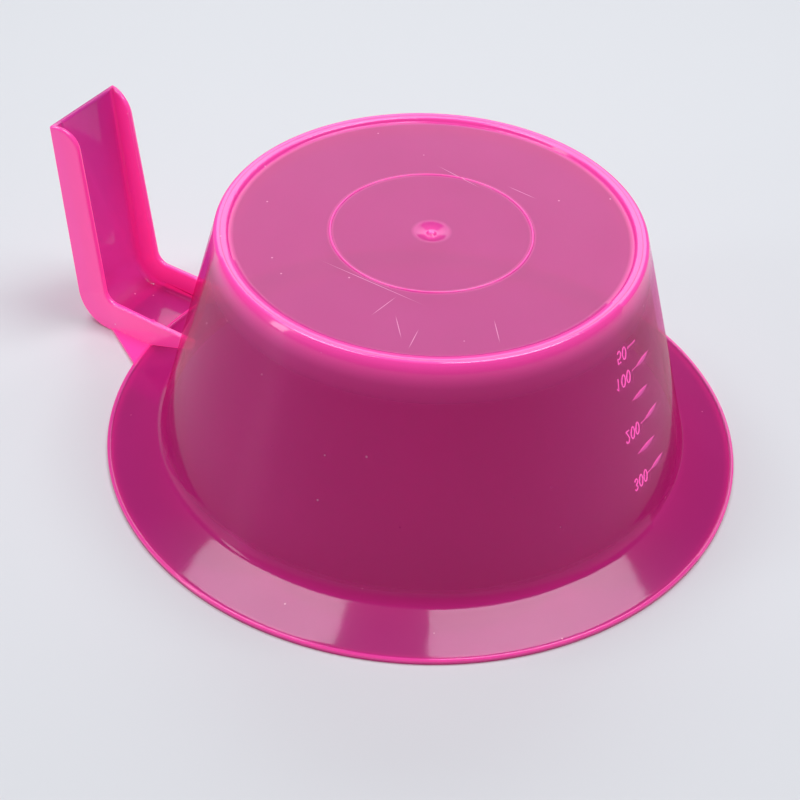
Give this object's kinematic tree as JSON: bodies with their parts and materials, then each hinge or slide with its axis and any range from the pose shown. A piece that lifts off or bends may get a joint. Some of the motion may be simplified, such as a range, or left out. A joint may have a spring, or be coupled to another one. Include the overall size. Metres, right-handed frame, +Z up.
{
  "type": "hair color bowl",
  "caption": "Translucent tinting bowl with a wide sloping brim, a channel-shaped hook handle, a foot ring and raised measuring marks inside, standing upside down on its brim.",
  "frame": {"origin": "on the bowl's axis, in the plane of the rim that the bowl stands on when it is upside down", "axes": "+Z up the bowl's axis from the rim to the closed base; the handle leaves along -X; Y is across the handle"},
  "size_m": [0.1643, 0.14, 0.0566],
  "materials": {
    "bowl": "glossy, translucent pink polypropylene",
    "handle": "glossy, translucent pink polypropylene",
    "marks": "raised marks of the same pink polypropylene"
  },
  "bodies": {
    "root": {"bowl_wall": "bowl", "bowl_floor": "bowl", "foot_ring": "bowl", "floor_circle_line": "bowl", "gate_mark": "bowl", "brim": "bowl", "brim_lip": "bowl", "handle_bridge": "handle", "handle_grip": "handle", "handle_rib_left": "handle", "handle_rib_right": "handle", "gusset_left": "handle", "gusset_right": "handle", "tick_50": "marks", "tick_100": "marks", "tick_150": "marks", "tick_200": "marks", "tick_250": "marks", "tick_300": "marks", "numeral_50": "marks", "numeral_100": "marks", "numeral_200": "marks", "numeral_300": "marks"}
  },
  "joints": []
}
